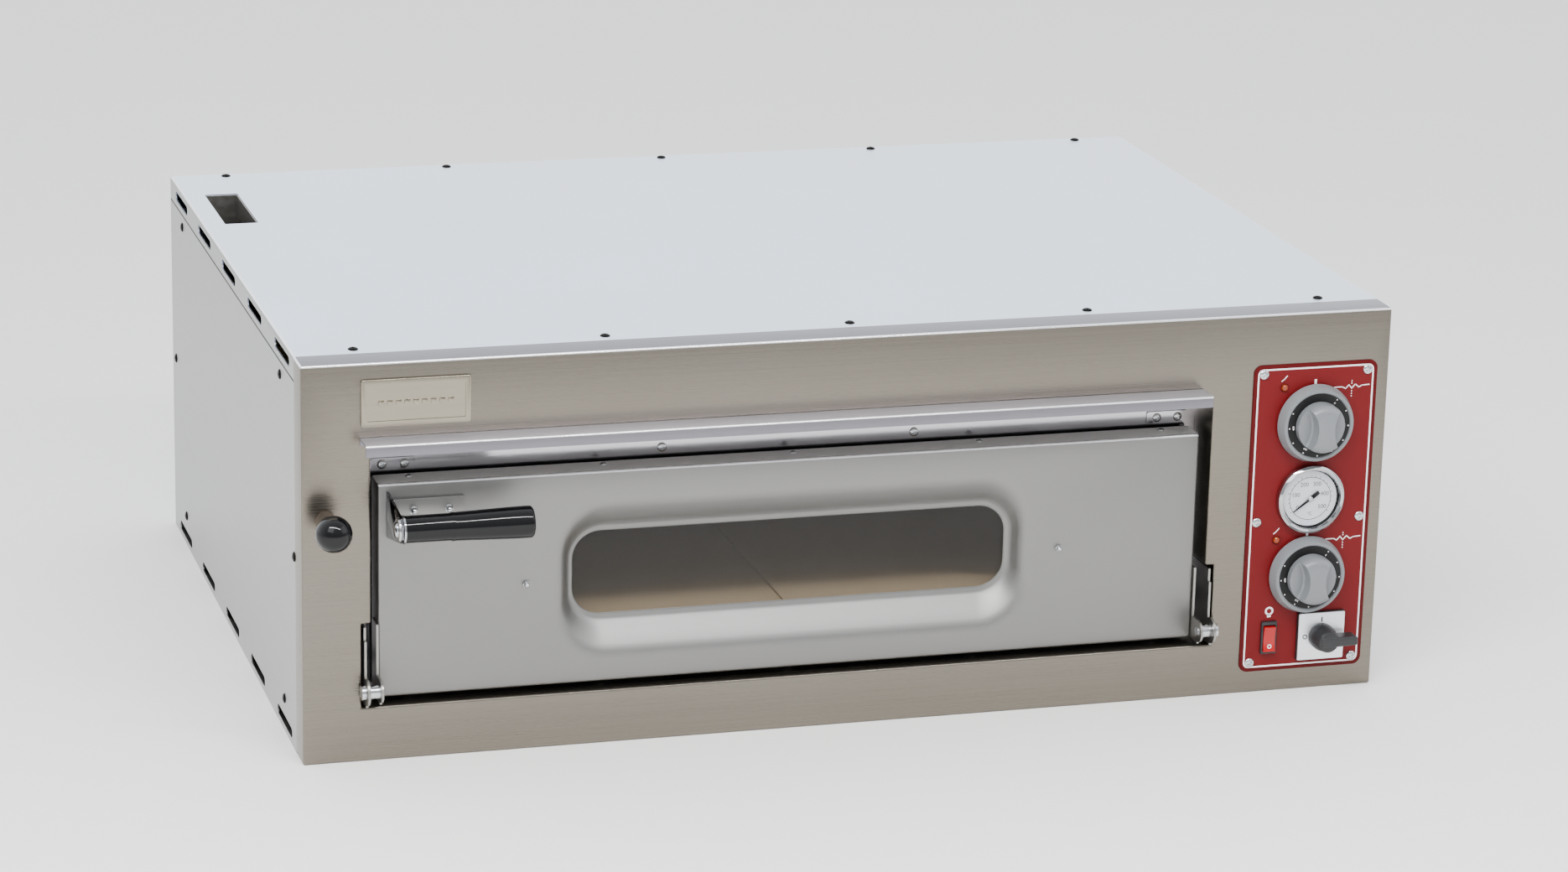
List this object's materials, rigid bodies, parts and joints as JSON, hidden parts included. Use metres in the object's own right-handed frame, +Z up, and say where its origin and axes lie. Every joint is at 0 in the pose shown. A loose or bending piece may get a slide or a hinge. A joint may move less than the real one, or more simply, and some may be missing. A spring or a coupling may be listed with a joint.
{
  "type": "countertop pizza oven",
  "caption": "Electric deck oven for a counter: insulated chamber with baking stones, drop-down glazed door, flue damper and a side control plate.",
  "frame": {"origin": "middle of the cabinet's base face", "axes": "+Z up, the front with its door faces -Y, +X to the right of someone facing the oven"},
  "size_m": [1.0036, 0.79, 0.3618],
  "materials": {
    "brushed_front": "brushed stainless, horizontal grain",
    "satin_cover": "satin cold-rolled stainless",
    "galvanised_sheet": "galvanised",
    "door_steel": "satin pressed stainless",
    "polished_steel": "bright stainless",
    "plate_badge": "embossed aluminium",
    "dark_screws": "blackened",
    "zinc_fasteners": "bright zinc",
    "chamber_steel": "heat-darkened aluminised steel",
    "mineral_wool": "felted",
    "cordierite_stone": "fired cordierite, matt",
    "element_sheath": "oxidised nickel alloy",
    "copper_bulb": "drawn copper",
    "lamp_dome": "clear",
    "red_plate": "printed satin",
    "grey_knob": "moulded",
    "black_phenolic": "polished",
    "black_nylon": "moulded",
    "chrome_bezel": "polished",
    "dial_face": "printed",
    "dial_glass": "clear",
    "amber_lens": "clear moulded",
    "red_rocker": "moulded",
    "switch_silver": "anodised",
    "ceramic_block": "glazed",
    "needle_black": "matt",
    "window_glass": "tempered"
  },
  "bodies": {
    "cabinet": {"base_pan": "galvanised_sheet", "front_panel": "brushed_front", "top_cover": "satin_cover", "side_panels": "satin_cover", "back_panel": "satin_cover", "cabinet_screws": "dark_screws", "drip_hood": "brushed_front", "nameplate": "plate_badge", "chamber_supports": "galvanised_sheet", "chamber_shell": "chamber_steel", "chamber_flue_wall": "chamber_steel", "chamber_front_frame": "polished_steel", "frame_clips": "polished_steel", "frame_screws": "dark_screws", "chamber_insulation": "mineral_wool", "stone_rails": "chamber_steel", "baking_stones": "cordierite_stone", "heating_elements": "element_sheath", "lamp_holder": "galvanised_sheet", "lamp_glass": "lamp_dome", "flue_duct": "chamber_steel", "flue_neck": "chamber_steel", "rod_bush": "chamber_steel", "compartment_wall": "galvanised_sheet", "control_plate": "red_plate", "control_plate_screws": "zinc_fasteners", "thermostat_bodies": "black_nylon", "sensor_bulbs": "copper_bulb", "pyrometer_case": "chrome_bezel", "pyrometer_dial": "dial_face", "pyrometer_glass": "dial_glass", "indicator_lamps": "amber_lens", "rocker_frame": "black_nylon", "switch_body": "black_nylon", "switch_plate": "switch_silver", "terminal_block": "ceramic_block", "cable_gland": "black_nylon", "hinge_brackets": "polished_steel"},
    "door": {"door_outer_panel": "door_steel", "door_inner_panel": "polished_steel", "door_insulation": "mineral_wool", "window_glass": "window_glass", "window_retainer": "polished_steel", "door_fasteners": "zinc_fasteners", "door_leaves": "polished_steel", "hinge_pins": "zinc_fasteners", "handle_bracket": "polished_steel", "handle_ferrule": "zinc_fasteners", "handle_grip": "black_phenolic", "handle_nuts": "zinc_fasteners"},
    "damper": {"damper_blade": "chamber_steel", "damper_rod": "zinc_fasteners", "damper_knob": "black_phenolic"},
    "upper_thermostat": {"upper_knob": "grey_knob", "upper_spindle": "zinc_fasteners"},
    "lower_thermostat": {"lower_knob": "grey_knob", "lower_spindle": "zinc_fasteners"},
    "pyrometer_needle": {"pyrometer_pointer": "needle_black"},
    "light_switch": {"light_rocker": "red_rocker"},
    "main_switch": {"switch_knob": "black_nylon"}
  },
  "joints": [
    {"name": "door_drop", "type": "hinge", "parent": "cabinet", "child": "door", "pos_m": [-0.0545, -0.3655, 0.066], "axis": [1, 0, 0], "range_deg": [0, 90]},
    {"name": "damper_pull", "type": "slide", "parent": "cabinet", "child": "damper", "axis": [0, -1, 0], "range_m": [0, 0.119]},
    {"name": "upper_thermostat_turn", "type": "hinge", "parent": "cabinet", "child": "upper_thermostat", "pos_m": [0.4285, -0.3575, 0.257], "axis": [0, 1, 0], "range_deg": [0, 280]},
    {"name": "lower_thermostat_turn", "type": "hinge", "parent": "cabinet", "child": "lower_thermostat", "pos_m": [0.4285, -0.3575, 0.1126], "axis": [0, 1, 0], "range_deg": [0, 280]},
    {"name": "main_switch_turn", "type": "hinge", "parent": "cabinet", "child": "main_switch", "pos_m": [0.4461, -0.3575, 0.0521], "axis": [0, 1, 0], "range_deg": [0, 90]},
    {"name": "light_switch_rock", "type": "hinge", "parent": "cabinet", "child": "light_switch", "pos_m": [0.3953, -0.3585, 0.0531], "axis": [-1, 0, 0], "range_deg": [0, 20]},
    {"name": "pyrometer_needle_turn", "type": "hinge", "parent": "cabinet", "child": "pyrometer_needle", "pos_m": [0.4285, -0.3575, 0.1848], "axis": [0, 1, 0], "range_deg": [0, 250], "stiffness_Nm_per_rad": 0.0002}
  ]
}
